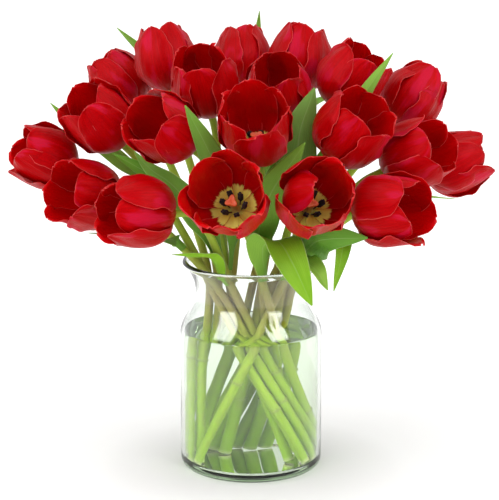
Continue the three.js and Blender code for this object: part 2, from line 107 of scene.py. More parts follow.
def stem_line(node):
    """The middles of a stem's rings of corners, from its cut foot to the bloom."""
    corners, links = welded(node)
    apart = distances(corners)
    ring_of = np.full(len(corners), -1)
    rings = []
    for i in range(len(corners)):
        if ring_of[i] >= 0:
            continue
        members = {i}
        front = [i]
        while front:
            near = np.where(apart[front.pop()] < SAME_RING)[0]
            front += [j for j in near if j not in members]
            members |= set(near.tolist())
        ring_of[list(members)] = len(rings)
        rings.append(sorted(members))
    middles = [corners[ring].mean(0) for ring in rings]
    beside = [{int(ring_of[j]) for i in ring for j in links[i]} - {k} for k, ring in enumerate(rings)]
    ends = [k for k, neighbours in enumerate(beside) if len(neighbours) == 1]
    path = [min(ends, key=lambda k: middles[k][2])]
    while len(path) < len(rings):
        path += [k for k in beside[path[-1]] if k not in path][:1]
    return np.array([middles[k] for k in path])


def layers_from(start, links):
    """A mesh's corners in layers, each one edge further from the start."""
    layers, seen = [set(start)], set(start)
    while layers[-1]:
        layers.append({j for i in layers[-1] for j in links[i]} - seen)
        seen |= layers[-1]
    return [sorted(layer) for layer in layers[:-1]]


def end_row(pair, beside):
    """A leaf's end row, with its missing edge the mirror image of the other across the midrib."""
    left, middle, right = beside
    spine, edge = sorted(pair, key=lambda corner: np.linalg.norm(corner - middle))
    rise = (left + right) / 2 - middle
    rise = rise / np.linalg.norm(rise)
    off = edge - spine
    mirrored = spine - off + 2 * np.dot(off, rise) * rise
    if np.dot(off, right - left) > 0:
        return mirrored, spine, edge
    return edge, spine, mirrored


def leaf_rails(node):
    """The left edge, midrib and right edge of a leaf, from where it clasps its stem to its tip."""
    corners, links = welded(node)
    apart = distances(corners)

    def spread(ring):
        return apart[np.ix_(ring, ring)].sum()

    # an end is a midrib corner and one edge corner, and the rings between have four, square to the blade
    sizes = [2] + [4] * ((len(corners) - 4) // 4) + [2]
    layered = (layers_from((a, b), links) for a in range(len(corners)) for b in links[a] if a < b)
    whole = [rings for rings in layered if [len(ring) for ring in rings] == sizes]
    rings = min(whole, key=lambda rings: sum(spread(ring) for ring in rings))
    if spread(rings[0]) < spread(rings[-1]):
        rings = rings[::-1]
    rails = []
    for ring in rings[1:-1]:
        a, b = min(((a, b) for a in ring for b in ring if a < b), key=lambda pair: apart[pair])
        left, right = [corners[k] for k in ring if k not in (a, b)]
        middle = (corners[a] + corners[b]) / 2
        if rails and np.dot(right - left, rails[-1][2] - rails[-1][0]) < 0:
            left, right = right, left
        rails.append((left, middle, right))
    base = end_row(corners[rings[0]], rails[0])
    tip = end_row(corners[rings[-1]], rails[-1])
    return np.array([base, *rails, tip])


# ---- curves and meshes -------------------------------------------------------------------------


def through(points, steps):
    """A smooth line through the points, with so many steps between each two."""
    p = np.asarray(points, float)
    p = np.concatenate([[2 * p[0] - p[1]], p, [2 * p[-1] - p[-2]]])
    t = (np.arange(steps) / steps).reshape((-1,) + (1,) * (p.ndim - 1))
    lines = []
    for a, b, c, d in zip(p, p[1:], p[2:], p[3:]):
        square = 2 * a - 5 * b + 4 * c - d
        cube = 3 * b - a - 3 * c + d
        lines.append(b + 0.5 * t * (c - a + t * (square + t * cube)))
    return np.concatenate(lines + [p[-2:-1]])


def unit(v):
    return v / np.maximum(np.linalg.norm(v, axis=-1, keepdims=True), 1e-12)


def carried_frames(line):
    """Along, across and up at each point of a line, turning as little as it can."""
    along = unit(np.gradient(line, axis=0))
    # the first side is square to a direction that no stem sets out in
    side = unit(np.cross(along[0], [0.3, 1.0, 0.2]))
    across = []
    for a in along:
        side = unit(side - a * np.dot(side, a))
        across.append(side)
    across = np.array(across)
    return along, across, np.cross(along, across)


def surface_normals(grid):
    """Unit normals of a grid of points, rows along and columns across."""
    down = np.gradient(grid, axis=0)
    over = np.gradient(grid, axis=1)
    return unit(np.cross(down, over))


def pairs(along, across):
    """A grid of (along, across) pairs, from the values down its rows and across its columns."""
    return np.stack(np.broadcast_arrays(along[:, None], across[None]), -1)


def lattice(rows, columns):
    """Even steps 0 to 1 down the rows and across the columns of a grid."""
    return pairs(np.linspace(0, 1, rows), np.linspace(0, 1, columns))


def circle(sides):
    """So many even turns round a circle, in radians."""
    return np.linspace(0, FULL_TURN, sides, endpoint=False)


def turned_about_z(grid, turn):
    c, s = math.cos(turn), math.sin(turn)
    x, y, z = grid[..., 0], grid[..., 1], grid[..., 2]
    return np.stack([x * c - y * s, x * s + y * c, z], -1)


def eased(x, low, high):
    t = np.clip((x - low) / (high - low), 0, 1)
    return t * t * (3 - 2 * t)


def margin_wave(rng, share, across, waves):
    """Waves (beats, size) that run along a blade's two halves, each half in its own time."""
    total = np.zeros((len(share), len(across)))
    for beats, size in waves:
        phases = rng.uniform(0, FULL_TURN, 2)
        phase = np.where(across < 0, phases[0], phases[1])[None]
        total += size * np.sin(FULL_TURN * beats * share[:, None] + phase)
    return total


def border(index):
    """The numbers round the edge of a grid, in order."""
    return np.concatenate([index[0], index[1:, -1], index[-1, -2::-1], index[-2:0:-1, 0]]).tolist()


class Build:
    """Gathers grids into one mesh, with a place on the surface (uv) and named numbers at each corner."""

    def __init__(self, name, slot, material, numbers=()):
        self.name, self.slot, self.material = name, slot, material
        self.corners, self.faces, self.uv = [], [], []
        self.numbers = {name: [] for name in numbers}
        self.count = 0

    def grid(self, points, uv, close_columns=False, flip=False, **numbers):
        rows, columns = points.shape[:2]
        index = np.arange(rows * columns).reshape(rows, columns) + self.count
        if close_columns:
            index = np.hstack([index, index[:, :1]])
        quads = np.stack([index[:-1, :-1], index[:-1, 1:], index[1:, 1:], index[1:, :-1]], axis=-1)
        quads = quads.reshape(-1, 4)
        self.faces += (quads[:, ::-1] if flip else quads).tolist()
        self.corners.append(points.reshape(-1, 3))
        self.uv.append(np.broadcast_to(uv, points.shape[:2] + (2,)).reshape(-1, 2))
        for name, store in self.numbers.items():
            store.append(np.broadcast_to(numbers.get(name, 0.0), (rows, columns)).reshape(-1))
        self.count += rows * columns
        return index

    def lid(self, ring, flip=False):
        """Closes a ring of corners with one flat face."""
        ring = ring.tolist()
        self.faces.append(ring[::-1] if flip else ring)

    def tube(self, points, uv, inside_out=False, **numbers):
        """A grid whose columns close into a ring, with a lid at each end."""
        index = self.grid(points, uv, close_columns=True, **numbers)
        self.lid(index[0, :-1], flip=inside_out)
        self.lid(index[-1, :-1], flip=not inside_out)

    def sheet(self, middle, thickness, uv, **numbers):
        """A thin closed skin either side of a grid. The number side is 0 on its face and 1 on its back."""
        half = surface_normals(middle) * (thickness / 2)[..., None]
        face = border(self.grid(middle + half, uv, flip=True, side=0.0, **numbers))
        back = border(self.grid(middle - half, uv, side=1.0, **numbers))
        for here in range(len(face)):
            after = (here + 1) % len(face)
            self.faces.append([face[here], face[after], back[after], back[here]])

    def finish(self, *replaces):
        mesh = bpy.data.meshes.new(self.name)
        mesh.from_pydata(np.concatenate(self.corners).tolist(), [], self.faces)
        mesh.materials.append(self.material)
        mesh.polygons.foreach_set("use_smooth", [True] * len(self.faces))
        layer = mesh.uv_layers.new(name="UVMap")
        corner = np.zeros(len(mesh.loops), int)
        mesh.loops.foreach_get("vertex_index", corner)
        layer.data.foreach_set("uv", np.concatenate(self.uv)[corner].reshape(-1))
        for name, store in self.numbers.items():
            values = np.concatenate(store).astype(float)
            mesh.attributes.new(name, "FLOAT", "POINT").data.foreach_set("value", values)
        mesh.update()
        piece = put(self.name, mesh)
        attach(piece, "root")
        if replaces:
            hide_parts(*replaces)


# ---- materials ---------------------------------------------------------------------------------


class Paint:
    """A material, built a node at a time."""

    def __init__(self, name, **principled):
        self.material = bpy.data.materials.new(name)
        self.material.use_nodes = True
        self.tree = self.material.node_tree
        self.tree.nodes.clear()
        self.out = self.add("OutputMaterial")
        self.shader = self.add("BsdfPrincipled", principled)
        self.link(self.shader.outputs[0], self.out.inputs["Surface"])

    def link(self, a, b):
        self.tree.links.new(a, b)

    def fill(self, socket, value):
        if isinstance(value, bpy.types.NodeSocket):
            self.link(value, socket)
        else:
            socket.default_value = value

    def add(self, kind, inputs=None, **settings):
        node = self.tree.nodes.new("ShaderNode" + kind)
        for key, value in settings.items():
            setattr(node, key, value)
        for key, value in (inputs or {}).items():
            self.fill(node.inputs[key], value)
        return node

    def math(self, operation, a, b=0.0):
        return self.add("Math", {0: a, 1: b}, operation=operation).outputs[0]

    def times(self, a, b):
        return self.math("MULTIPLY", a, b)

    def plus(self, a, b):
        return self.math("ADD", a, b)

    def less(self, a, b):
        return self.math("SUBTRACT", a, b)

    def number(self, name):
        """One of the named numbers that a Build stores at each corner."""
        return self.add("Attribute", attribute_name=name).outputs["Fac"]

    def surface(self):
        """Along and across, from the surface's own coordinates."""
        split = self.add("SeparateXYZ", {0: self.add("UVMap", uv_map="UVMap").outputs[0]})
        return split.outputs[0], split.outputs[1]

    def place(self):
        """The place in space, in metres."""
        return self.add("TexCoord").outputs["Object"]

    def from_middle(self, across):
        """0 on the midrib and 1 at either margin."""
        return self.math("ABSOLUTE", self.less(self.times(across, 2), 1))

    def at(self, x, y, z=0.0):
        return self.add("CombineXYZ", {0: x, 1: y, 2: z}).outputs[0]

    def stretched(self, *scaled):
        """A place in a noise pattern, from (value, scale) pairs."""
        return self.at(*[self.times(value, scale) for value, scale in scaled])

    def noise(self, vector, scale, detail=2.0, roughness=0.5):
        inputs = {"Vector": vector, "Scale": scale, "Detail": detail, "Roughness": roughness}
        return self.add("TexNoise", inputs).outputs["Fac"]

    def ramp(self, value, *stops, ease="LINEAR"):
        node = self.add("ValToRGB", {"Fac": value})
        node.color_ramp.interpolation = ease
        elements = node.color_ramp.elements
        while len(elements) < len(stops):
            elements.new(0.5)
        for element, (position, colour) in zip(elements, stops):
            element.position = position
            element.color = (*colour, 1)
        return node.outputs[0]

    def grey(self, value, *stops, ease="LINEAR"):
        return self.ramp(value, *[(position, (g, g, g)) for position, g in stops], ease=ease)

    def mix(self, share, a, b):
        node = self.add("Mix", data_type="RGBA")
        for key, value in (("Factor", share), ("A", a), ("B", b)):
            socket = next(s for s in node.inputs if s.name == key and s.enabled)
            self.fill(socket, (*value, 1) if isinstance(value, tuple) else value)
        return next(s for s in node.outputs if s.enabled)

    def relief(self, height, strength, distance):
        bump = self.add("Bump", {"Height": height, "Strength": strength, "Distance": distance})
        self.link(bump.outputs[0], self.shader.inputs["Normal"])

    def use(self, **sockets):
        for key, value in sockets.items():
            self.link(value, self.shader.inputs[key.replace("_", " ")])
        return self.material


def petal_material():
    """Red with fine streaks and partly painted waxy sheen outside, and a yellow heart with a torn edge
    inside.
    """
    p = Paint("petal", **{
        "IOR": 1.42, "Specular IOR Level": 0.30, "Specular Tint": (1, 0.09, 0.13, 1),
        "Subsurface Weight": 0.2, "Subsurface Radius": (1.0, 0.04, 0.03), "Subsurface Scale": 0.004,
    })
    along, across = p.surface()
    seed = p.number("seed")
    inside = p.number("side")
    outside = p.less(1, inside)
    from_middle = p.from_middle(across)
    streaks = p.noise(p.stretched((along, 1.6), (across, 34), (seed, 40)), 1, 4, 0.6)
    clouds = p.noise(p.stretched((along, 2.2), (across, 3.2), (seed, 23)), 1, 2)
    red = p.ramp(
        p.plus(p.times(streaks, 0.55), p.times(clouds, 0.45)),
        (0.25, (0.27, 0.0, 0.0006)), (0.5, (0.40, 0.0, 0.001)), (0.75, (0.53, 0.0004, 0.0015)),
    )
    # pinker waxy patches outside: partly the petal's own bloom and partly painted sheen
    waxy_bloom_and_sheen = p.times(p.grey(clouds, (0.52, 0), (0.66, 0.6), ease="EASE"), outside)
    red = p.mix(waxy_bloom_and_sheen, red, (0.52, 0.009, 0.045))
    red = p.mix(p.times(inside, 0.6), red, (0.50, 0.0, 0.001))
    # a thin painted highlight along the margins and the tip
    near_margin = p.grey(from_middle, (0.955, 0), (0.99, 1), ease="EASE")
    near_tip = p.grey(along, (0.985, 0), (0.998, 1), ease="EASE")
    rim_highlight = p.math("MAXIMUM", near_margin, near_tip)
    red = p.mix(p.times(rim_highlight, 0.6), red, (0.78, 0.085, 0.08))
    # the heart, its torn edge lower towards the margins, and the dark halo round it
    torn = p.plus(along, p.times(p.less(streaks, 0.5), 0.07))
    torn = p.plus(torn, p.times(p.math("POWER", from_middle, 3), 0.07))
    heart = p.times(p.grey(torn, (0.215, 1), (0.24, 0), ease="EASE"), inside)
    halo = p.times(p.grey(torn, (0.225, 1), (0.29, 0), ease="EASE"), inside)
    red = p.mix(p.times(halo, 0.5), red, (0.20, 0.012, 0.003))
    yellow = p.ramp(
        along, (0.02, (0.42, 0.50, 0.10)), (0.10, (0.98, 0.94, 0.16)), (0.2, (1.0, 0.94, 0.20)),
    )
    colour = p.mix(heart, red, yellow)
    # the claw is pale outside
    heel = p.times(p.grey(along, (0.02, 1), (0.10, 0), ease="EASE"), outside)
    colour = p.mix(heel, colour, (0.62, 0.50, 0.16))
    crinkle = p.noise(p.stretched((along, 6), (across, 9), (seed, 17)), 1, 3)
    p.relief(p.plus(p.times(streaks, 0.35), crinkle), 0.55, 0.0016)
    return p.use(Base_Color=colour, Roughness=p.grey(clouds, (0.3, 0.34), (0.7, 0.5)))


def leaf_material():
    """Green with fine veins along it, a paler back, midrib and margins, and each leaf its own tone."""
    p = Paint("leaf", **{
        "IOR": 1.42, "Specular IOR Level": 0.3, "Specular Tint": (0.8, 1, 0.45, 1),
        "Subsurface Weight": 0.12, "Subsurface Radius": (0.4, 1.0, 0.15), "Subsurface Scale": 0.002,
    })
    veins = 17  # from one margin to the other
    along, across = p.surface()
    tone = p.number("tone")
    from_middle = p.from_middle(across)
    clouds = p.noise(p.stretched((along, 5), (across, 2.5), (tone, 31)), 1, 3)
    drift = p.times(p.noise(p.at(p.times(along, 3), across, tone), 2, 1), 0.12)
    lines = p.math("SINE", p.times(p.plus(across, drift), FULL_TURN * veins))
    fine = p.noise(p.at(p.times(along, 2.4), p.times(across, 70), tone), 1, 3, 0.6)
    green = p.ramp(
        tone, (0.0, (0.11, 0.25, 0.045)), (0.35, (0.09, 0.30, 0.006)), (0.7, (0.18, 0.43, 0.008)),
        (1.0, (0.30, 0.55, 0.012)),
    )
    shade = p.plus(p.times(clouds, 0.5), p.plus(p.times(fine, 0.35), p.times(lines, 0.045)))
    deep = p.mix(0.5, green, (0.03, 0.12, 0.02))
    pale = p.mix(0.35, green, (0.44, 0.60, 0.13))
    colour = p.mix(p.grey(shade, (0.25, 0), (0.62, 1)), deep, pale)
    colour = p.mix(0.5, colour, green)
    colour = p.mix(p.times(p.number("side"), 0.35), colour, (0.22, 0.36, 0.10))
    colour = p.mix(p.grey(from_middle, (0.0, 0.35), (0.05, 0)), colour, (0.40, 0.55, 0.22))
    colour = p.mix(p.grey(from_middle, (0.955, 0), (1.0, 0.6)), colour, (0.55, 0.66, 0.30))
    p.relief(p.plus(p.times(lines, 0.4), fine), 0.3, 0.0005)
    return p.use(Base_Color=colour, Roughness=p.grey(clouds, (0.3, 0.42), (0.7, 0.58)))


def stem_material():
    """Green with streaks and blotches, browner where the bare stems cross in the jar's neck."""
    p = Paint("stem", **{
        "IOR": 1.42, "Specular IOR Level": 0.3, "Specular Tint": (0.85, 1, 0.5, 1),
        "Subsurface Weight": 0.15, "Subsurface Radius": (0.6, 1.0, 0.2), "Subsurface Scale": 0.003,
    })
    along, across = p.surface()
    place = p.place()
    height = p.add("SeparateXYZ", {0: place}).outputs[2]
    streaks = p.noise(p.at(p.times(along, 5), p.times(across, 16), p.number("seed")), 1, 3, 0.6)
    blotches = p.noise(place, 55, 3)
    green = p.ramp(
        p.times(height, 2.5), (0.0, (0.31, 0.55, 0.006)), (0.30, (0.39, 0.56, 0.012)),
        (0.37, (0.38, 0.38, 0.07)), (0.44, (0.42, 0.30, 0.13)), (0.50, (0.38, 0.34, 0.08)),
        (0.56, (0.31, 0.43, 0.035)), (0.66, (0.30, 0.44, 0.03)), (1.0, (0.33, 0.44, 0.04)),
    )
    colour = p.mix(p.times(streaks, 0.4), green, (0.42, 0.52, 0.10))
    colour = p.mix(p.grey(blotches, (0.55, 0), (0.75, 0.25)), colour, (0.36, 0.27, 0.12))
    colour = p.mix(p.number("scar"), colour, (0.40, 0.50, 0.10))
    colour = p.mix(p.number("cut"), colour, (0.62, 0.66, 0.34))
    p.relief(streaks, 0.3, 0.0005)
    return p.use(Base_Color=colour, Roughness=p.grey(streaks, (0.3, 0.34), (0.7, 0.5)))


def pistil_material():
    """Yellow green, with an orange red stigma at the top."""
    p = Paint("pistil", **{
        "Subsurface Weight": 0.2, "Subsurface Radius": (1.0, 0.6, 0.2), "Subsurface Scale": 0.002,
    })
    along, across = p.surface()
    grain = p.noise(p.stretched((along, 14), (across, 10)), 1, 3)
    colour = p.ramp(
        p.plus(along, p.times(p.less(grain, 0.5), 0.08)), (0.0, (0.50, 0.52, 0.14)),
        (0.55, (0.56, 0.50, 0.16)), (0.7, (0.80, 0.28, 0.06)), (0.85, (0.76, 0.11, 0.025)),
    )
    p.relief(grain, 0.6, 0.0006)
    return p.use(Base_Color=colour, Roughness=p.grey(grain, (0.3, 0.5), (0.7, 0.7)))


def anther_material():
    """A dark yellow filament under an almost black anther."""
    p = Paint("anther", **{"Sheen Weight": 0.08, "Sheen Roughness": 0.5, "Specular IOR Level": 0.25})
    along, _ = p.surface()
    grain = p.noise(p.place(), 2400, 2)
    colour = p.ramp(
        p.plus(along, p.times(grain, 0.12)), (0.0, (0.16, 0.10, 0.02)), (0.38, (0.020, 0.007, 0.010)),
        (0.55, (0.006, 0.003, 0.005)), (1.0, (0.012, 0.007, 0.010)),
    )
    p.relief(grain, 0.6, 0.0004)
    return p.use(Base_Color=colour, Roughness=p.grey(grain, (0.3, 0.65), (0.7, 0.9)))


def clear_material(name, tint, ior, waves, depth, murk, density):
    """Clear glass or water, murkier the thicker it is, that lets light straight through into its shade.

    Its surface has ripples, so many waves to the metre and so deep.
    """
    p = Paint(name, **{"Transmission Weight": 1.0, "IOR": ior, "Roughness": 0.0, "Base Color": (*tint, 1)})
    p.relief(p.noise(p.place(), waves, 2), 0.5, depth)
    shadow_tint = [1 - 0.5 * (1 - t) for t in tint]
    passing = p.add("BsdfTransparent", {"Color": (*shadow_tint, 1)})
    in_shadow = p.add("LightPath").outputs["Is Shadow Ray"]
    shaded = p.add("MixShader", {0: in_shadow, 1: p.shader.outputs[0], 2: passing.outputs[0]})
    absorbing = p.add("VolumeAbsorption", {"Color": (*murk, 1), "Density": density})
    p.link(shaded.outputs[0], p.out.inputs["Surface"])
    p.link(absorbing.outputs[0], p.out.inputs["Volume"])
    return p.material


def floor_material():
    """A pale floor with painted light: it glows a little more the further it lies from the jar, leaving a
    painted shadow round it.
    """
    p = Paint("floor", **{"Roughness": 0.9, "Specular IOR Level": 0.0, "Emission Color": (1, 1, 1, 1)})
    place = p.place()
    # the painted shadow is darkest a little in front of the jar's middle
    from_jar = p.add("VectorMath", {0: place, 1: (0, 0.012, 0)}, operation="ADD").outputs[0]
    painted_shadow_distance = p.add("VectorMath", {0: from_jar}, operation="LENGTH").outputs["Value"]
    # the emission paints the shadow: none next to the jar, and more light further out
    return p.use(
        Base_Color=p.grey(p.noise(place, 3, 3), (0.3, 0.73), (0.7, 0.75)),
        Emission_Strength=p.grey(painted_shadow_distance, (0.07, 0.0), (0.11, 0.11), (0.16, 0.24), (0.3, 0.34), (0.8, 0.55)),
    )


PETAL = petal_material()
LEAF = leaf_material()
STEM = stem_material()
PISTIL = pistil_material()
ANTHER = anther_material()
GLASS = clear_material(
    "glass", tint=(0.97, 0.99, 0.975), ior=1.5, waves=9, depth=0.0012,
    murk=(0.30, 0.58, 0.16), density=9,
)
WATER = clear_material(
    "water", tint=(0.985, 1.0, 0.975), ior=1.33, waves=14, depth=0.0006,
    murk=(0.42, 0.88, 0.05), density=1.5,
)

# ---- stems -------------------------------------------------------------------------------------

STEM_RADIUS = 4.2 * MM
STEM_SIDES = 16
COLLAR_SIDES = 28
COLLAR_ROWS = 4
COLLAR_THICKNESS = 0.35 * MM


def collar_grid(rng, radius, middle, along, across, up):
    """The torn rim of leaf base that stands round a scar."""
    a = circle(COLLAR_SIDES)
    ragged = 1.1 + 1.3 * np.abs(np.sin(1.5 * a + rng.uniform(0, 6))) + rng.uniform(0, 0.8, COLLAR_SIDES)
    outward = np.cos(a)[:, None] * across + np.sin(a)[:, None] * up
    rows = []
    for s in np.linspace(0, 1, COLLAR_ROWS):
        flare = radius + (0.12 + 0.75 * s**1.5) * MM
        lift = (ragged * s + 0.3 * s - 0.4) * MM
        rows.append(middle + flare * outward + lift[:, None] * along)
    collar = np.stack(rows)
    return np.concatenate([collar, collar[:, :1]], axis=1)


def build_stem(number):
    name = f"stem_{number:02d}"
    line = through(stem_line(name), steps=7)
    along, across, up = carried_frames(line)
    share = np.linspace(0, 1, len(line))
    # the scar is where the stem's lowest leaf was taken off
    scar_place = np.random.default_rng(100 + number).uniform(0.14, 0.36)
    scar = np.exp(-(((share - scar_place) / 0.012) ** 2))
    radius = STEM_RADIUS * (1.0 - 0.10 * eased(share, 0.3, 0.95) + 0.16 * eased(share, 0.975, 1.0))
    radius *= 1 + 0.02 * np.sin(share * 37 + number) + 0.015 * np.sin(share * 81 + 2 * number)
    radius *= 1 + 0.06 * scar
    turn = circle(STEM_SIDES)
    ribs = 1 + 0.018 * np.cos(3 * turn + number) + 0.012 * np.cos(5 * turn + 2 * number)
    ring = np.cos(turn)[None, :, None] * across[:, None] + np.sin(turn)[None, :, None] * up[:, None]
    skin = line[:, None] + ring * (radius[:, None] * ribs[None])[..., None]
    uv = pairs(share, np.linspace(0, 1, STEM_SIDES))
    cut = np.exp(-share * 260)
    build = Build(f"{name}_look", "stem", STEM, ["seed", "scar", "cut"])
    build.tube(skin, uv, seed=number, scar=0.35 * scar[:, None], cut=cut[:, None])
    i = int(scar_place * (len(line) - 1))
    collar = collar_grid(np.random.default_rng(number), radius[i], line[i], along[i], across[i], up[i])
    thickness = np.full(collar.shape[:2], COLLAR_THICKNESS)
    build.sheet(collar, thickness, lattice(*collar.shape[:2]), seed=number, scar=0.9)
    build.finish(name)
    return line


# ---- blooms ------------------------------------------------------------------------------------

# How far each bloom has opened, from a bud at 0 to a wide cup at 1.
OPEN = [
    0.55, 0.6, 0.7, 0.45, 0.35, 0.6, 0.35, 0.5, 0.3, 0.35,
    0.5, 0.75, 0.95, 0.8, 0.6, 0.65, 0.55, 0.3, 0.65, 0.5,
]

# The blooms with one petal, the furthest to the left, that folds in over the heart.
FOLDED = {14}

# How far such a petal has opened: it goes in past the shut line.
FOLDED_IN = -0.55

# Each bloom sits this far off its stem's end.
BLOOM_GAP = 0.3 * MM

PETALS = 6
BLOOM_HEIGHT = 66
CLAW_HALF_WIDTH = 3.0

# The midline of a petal as (out from the bloom's axis, up from its base), in millimetres of a bloom
# of BLOOM_HEIGHT, when it is a shut bud and when it is a wide cup.
SHUT_LINE = [
    (2.6, 0), (11, 1.2), (21, 6.5), (28.5, 16), (31.5, 27), (31, 38), (27.5, 49), (22, 58.5), (16.5, 67),
]
WIDE_LINE = [
    (2.6, 0), (12, 1.0), (23, 5.5), (31, 14.5), (34, 26), (34.5, 37), (34.6, 48), (35.2, 57), (36.5, 64.5),
]

# Waves (beats, size) along a petal's margins: nicks as a share of its width, and swings in millimetres.
NICKS = [(2.3, 0.030), (4.7, 0.022), (8.9, 0.014)]
SWINGS = [(1.6, 1.0), (3.1, 0.7), (5.3, 0.35)]

# The pistil's outline, as (radius, height).
PISTIL_LINE = [
    (0.1, -0.4), (4.6, 0.2), (4.2, 2.2), (3.3, 4.5), (3.2, 9), (3.5, 14), (3.1, 18), (2.9, 20),
    (4.6, 21.3), (5.0, 22.6), (3.9, 23.8), (1.6, 23.1), (0.1, 22.4),
]
PISTIL_SIDES = 24
STIGMA_LOBES = 3
STAMENS = 6
STAMEN_SIDES = 12


def bloom_frame(number):
    """A bloom's base, its own x, y and z directions and its size.

    z is up its axis, and x is towards the middle of a petal.
    """
    corners, _ = welded(f"bloom_{number:02d}")
    top = STEM_LINES[number][-1]
    z = unit(corners.mean(0) - top)
    base = top + BLOOM_GAP * z
    rise = (corners - base) @ z
    peak = corners[np.argmax(rise)] - base
    x = unit(peak - z * np.dot(peak, z))
    return base, np.array([x, np.cross(z, x), z]), rise.max() / (BLOOM_HEIGHT * MM)


def petal_grid(open_share, inner, seed, droop, folded, rows=26, columns=19):
    """One petal standing on the x side of the axis, in millimetres.

    Its rows go up from its base and its columns go across it.
    """
    rng = np.random.default_rng(seed)
    even = np.linspace(0, 1, rows)
    share = 0.55 * (1 - np.cos(even * math.pi / 2) ** 1.25) + 0.45 * even
    shut, wide = np.array(SHUT_LINE), np.array(WIDE_LINE)
    opened = np.clip((open_share - 0.3) / 0.65, 0, 1)
    opened = FOLDED_IN if folded else np.clip(opened + rng.uniform(-0.10, 0.12) + droop, 0, 1.35)
    knots = through(shut * (1 - opened) + wide * opened, steps=12)
    steps = np.linspace(0, 1, len(knots))
    out = np.interp(share, steps, knots[:, 0])
    up = np.interp(share, steps, knots[:, 1])
    if inner:
        out = out * 0.90 + 0.2
        up = up * rng.uniform(0.96, 1.03) + 0.4
    else:
        up = up * rng.uniform(0.93, 1.0)
    out = out + rng.uniform(-0.6, 0.8) * share**2
    line = np.stack([out, up], -1)
    way = unit(np.gradient(line, axis=0))
    outward = np.stack([way[:, 1], -way[:, 0]], -1)
    # half widths: a narrow claw, a broad shoulder and a blunt, slightly pointed tip
    swell = eased(share, 0.0, 0.42) ** 0.72
    blunt = rng.uniform(0.40, 0.50) if inner else rng.uniform(0.48, 0.60)
    close = np.power(np.clip(1 - np.power(np.clip((share - 0.5) / 0.503, 0, 1), 2.3), 0, 1), blunt)
    width = (CLAW_HALF_WIDTH + (rng.uniform(23.5, 26.5) - CLAW_HALF_WIDTH) * swell) * close
    # columns from margin to margin, closer together towards the margins
    across = np.linspace(-1, 1, columns)
    across = np.sign(across) * (1 - (1 - np.abs(across)) ** 1.25)
    curl = np.maximum(out, 8) * (1.02 + 0.30 * share**2)
    # each margin runs in and out a little, most near the tip
    nick = margin_wave(np.random.default_rng(seed + 7000), share, across, NICKS)
    nick *= np.abs(across[None]) ** 2 * eased(share, 0.3, 0.8)[:, None]
    angle = width[:, None] * across[None] * (1 + nick) / curl[:, None]
    sideways = curl[:, None] * np.sin(angle)
    inward = curl[:, None] * (1 - np.cos(angle))
    # the margins wave, more towards the tip, and the midrib is a shallow furrow outside
    wave = margin_wave(rng, share, across, SWINGS)
    wave *= np.abs(across[None]) ** 2.5 * eased(share, 0.15, 0.6)[:, None] * (1.2 + opened)
    furrow = -0.55 * np.exp(-((across / 0.055) ** 2))[None] * eased(share, 0.05, 0.3)[:, None]
    # shallow dents all over it
    dent = 0.8 * np.sin(6.3 * across[None] + rng.uniform(0, 6))
    dent = dent * np.sin(4 * share[:, None] + rng.uniform(0, 6)) * eased(share, 0.2, 0.6)[:, None]
    lean = rng.uniform(-2.2, 2.2) * share[:, None] ** 2
    off = wave + furrow + dent - inward
    grid = np.stack([
        line[:, None, 0] + outward[:, None, 0] * off,
        sideways + lean,
        line[:, None, 1] + outward[:, None, 1] * off,
    ], -1)
    thickness = (0.45 + 1.3 * (1 - eased(share, 0, 0.35)))[:, None] * (1 - 0.6 * np.abs(across[None]) ** 3)
    return grid, thickness, pairs(share, (across + 1) / 2)


def pistil_grid():
    """A column about the z axis, with lobes that deepen towards its stigma."""
    profile = through(PISTIL_LINE, steps=4)
    a = circle(PISTIL_SIDES)
    share = np.linspace(0, 1, len(profile))
    depth = 0.36 * (0.3 + 0.7 * eased(share, 0.6, 0.85))
    r = profile[:, :1] * (1 + depth[:, None] * np.cos(STIGMA_LOBES * a)[None])
    points = np.stack([r * np.cos(a), r * np.sin(a), np.broadcast_to(profile[:, 1:], r.shape)], -1)
    return points, pairs(share, np.linspace(0, 1, PISTIL_SIDES))


def stamen_grid(lean, tall):
    """A thin filament and its grooved anther, on the x side of the axis and leaning outwards."""
    line = through([
        (5.2, 1.2), (6.2 + 3 * lean, 0.28 * tall), (7 + 9 * lean, 0.55 * tall),
        (7.6 + 14 * lean, 0.8 * tall), (7.8 + 17 * lean, tall),
    ], steps=6)
    share = np.linspace(0, 1, len(line))
    anther = eased(share, 0.36, 0.44) * (1 - eased(share, 0.93, 1.0))
    radius = 0.75 - 0.35 * eased(share, 0.2, 0.36) + 1.9 * anther
    a = circle(STAMEN_SIDES)
    along = unit(np.gradient(line, axis=0))
    side = np.stack([along[:, 1], -along[:, 0]], -1)
    groove = 1 - 0.28 * anther[:, None] * np.cos(2 * a)[None] ** 8
    r = radius[:, None] * groove
    points = np.stack([
        line[:, None, 0] + side[:, None, 0] * r * np.cos(a),
        r * np.sin(a) * (1 + 0.25 * anther[:, None]),
        line[:, None, 1] + side[:, None, 1] * r * np.cos(a),
    ], -1)
    return points, pairs(share, np.linspace(0, 1, STAMEN_SIDES))


